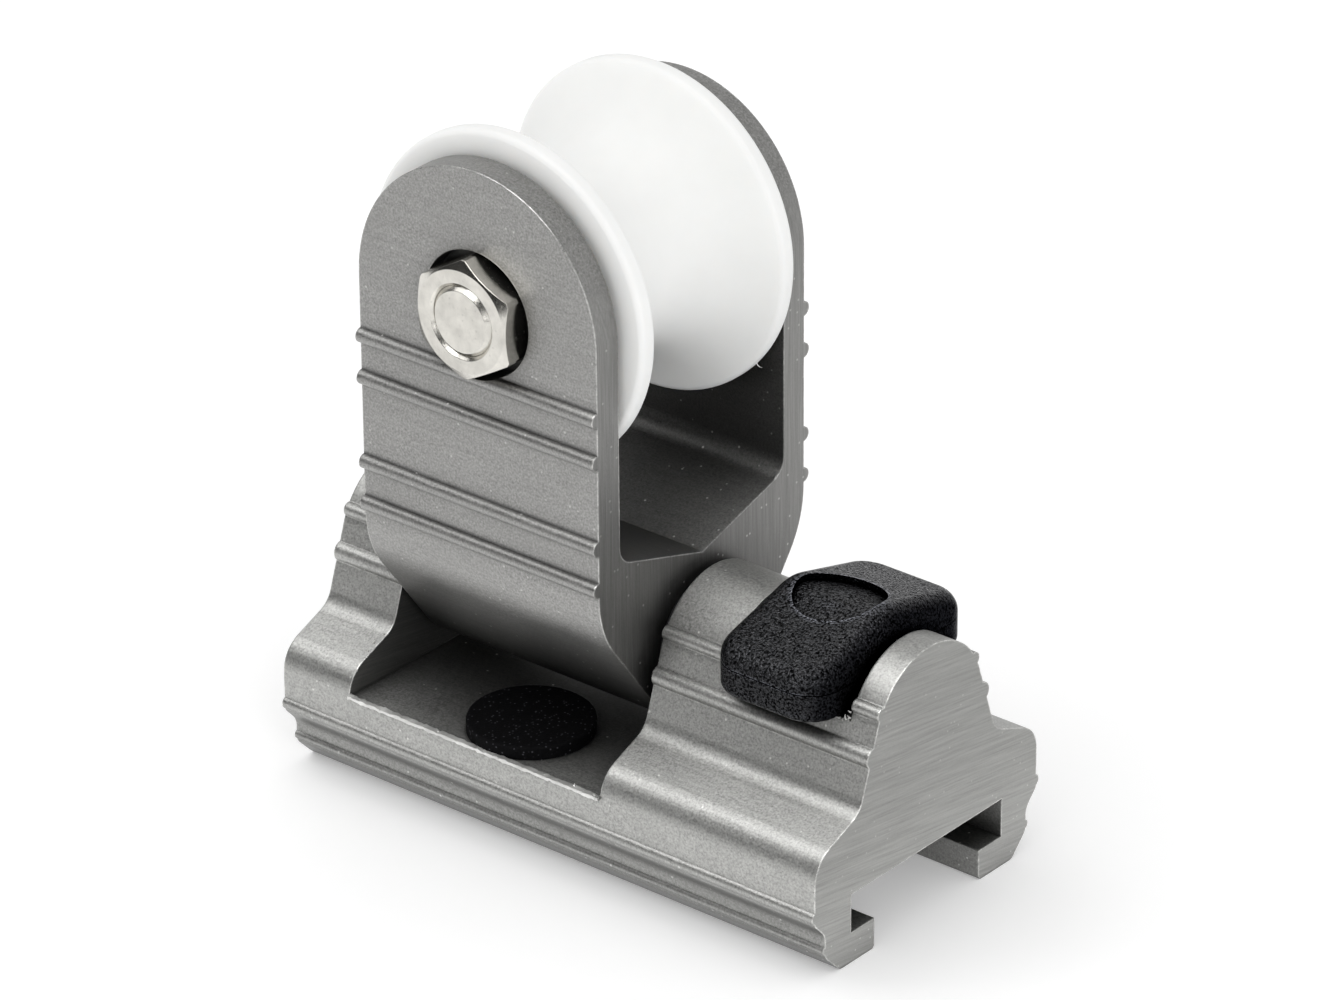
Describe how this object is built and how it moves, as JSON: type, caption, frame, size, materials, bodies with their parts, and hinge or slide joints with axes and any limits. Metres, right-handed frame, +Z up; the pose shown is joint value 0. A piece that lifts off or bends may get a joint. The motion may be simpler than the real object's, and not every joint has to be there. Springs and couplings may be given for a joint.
{
  "type": "genoa car",
  "caption": "Track slider with a tilting U bracket, a wide grooved sheave on a bolt, and a sprung plunger stop with a knob.",
  "frame": {"origin": "on the ground under the middle of the slider body", "axes": "+X along the track towards the plunger end, +Y across the track, +Z up"},
  "size_m": [0.0746, 0.0396, 0.0821],
  "materials": {
    "body_aluminium": "satin anodised, sawn ends",
    "bracket_aluminium": "satin anodised, sawn ends",
    "sheave_acetal": "white acetal, satin",
    "polished_stainless": "polished",
    "pin_stainless": "turned",
    "spring_stainless": "drawn wire",
    "knob_plastic": "black, spark-eroded texture",
    "bush_acetal": "black acetal, turned",
    "guide_acetal": "black acetal, turned",
    "washer_nylon": "natural nylon",
    "pad_rubber": "black sheet rubber"
  },
  "bodies": {
    "slider": {"slider_body": "body_aluminium", "pivot_pin": "pin_stainless", "pivot_grub_screw": "pin_stainless", "rubber_pad_near": "pad_rubber", "rubber_pad_far": "pad_rubber", "plunger_guide": "guide_acetal", "plunger_spring": "spring_stainless"},
    "bracket": {"sheave_bracket": "bracket_aluminium", "pivot_bush_minus": "bush_acetal", "pivot_bush_plus": "bush_acetal", "sheave_bolt": "polished_stainless", "sheave_nut": "polished_stainless", "sheave_sleeve": "pin_stainless", "sheave_washer_near": "washer_nylon", "sheave_washer_far": "washer_nylon"},
    "sheave": {"sheave": "sheave_acetal"},
    "plunger": {"plunger_knob": "knob_plastic", "plunger_pin": "pin_stainless"}
  },
  "joints": [
    {"name": "bracket_tilt", "type": "hinge", "parent": "slider", "child": "bracket", "pos_m": [-0.0098, 0, 0.0232], "axis": [1, 0, 0], "range_deg": [-52, 52]},
    {"name": "sheave_spin", "type": "hinge", "parent": "bracket", "child": "sheave", "pos_m": [-0.0098, 0, 0.0632], "axis": [0, 1, 0], "continuous": true},
    {"name": "plunger_lift", "type": "slide", "parent": "slider", "child": "plunger", "axis": [0, 0, 1], "range_m": [0, 0.005], "stiffness_N_per_m": 400, "springref_m": -0.005, "deforming": ["plunger_spring"]}
  ]
}
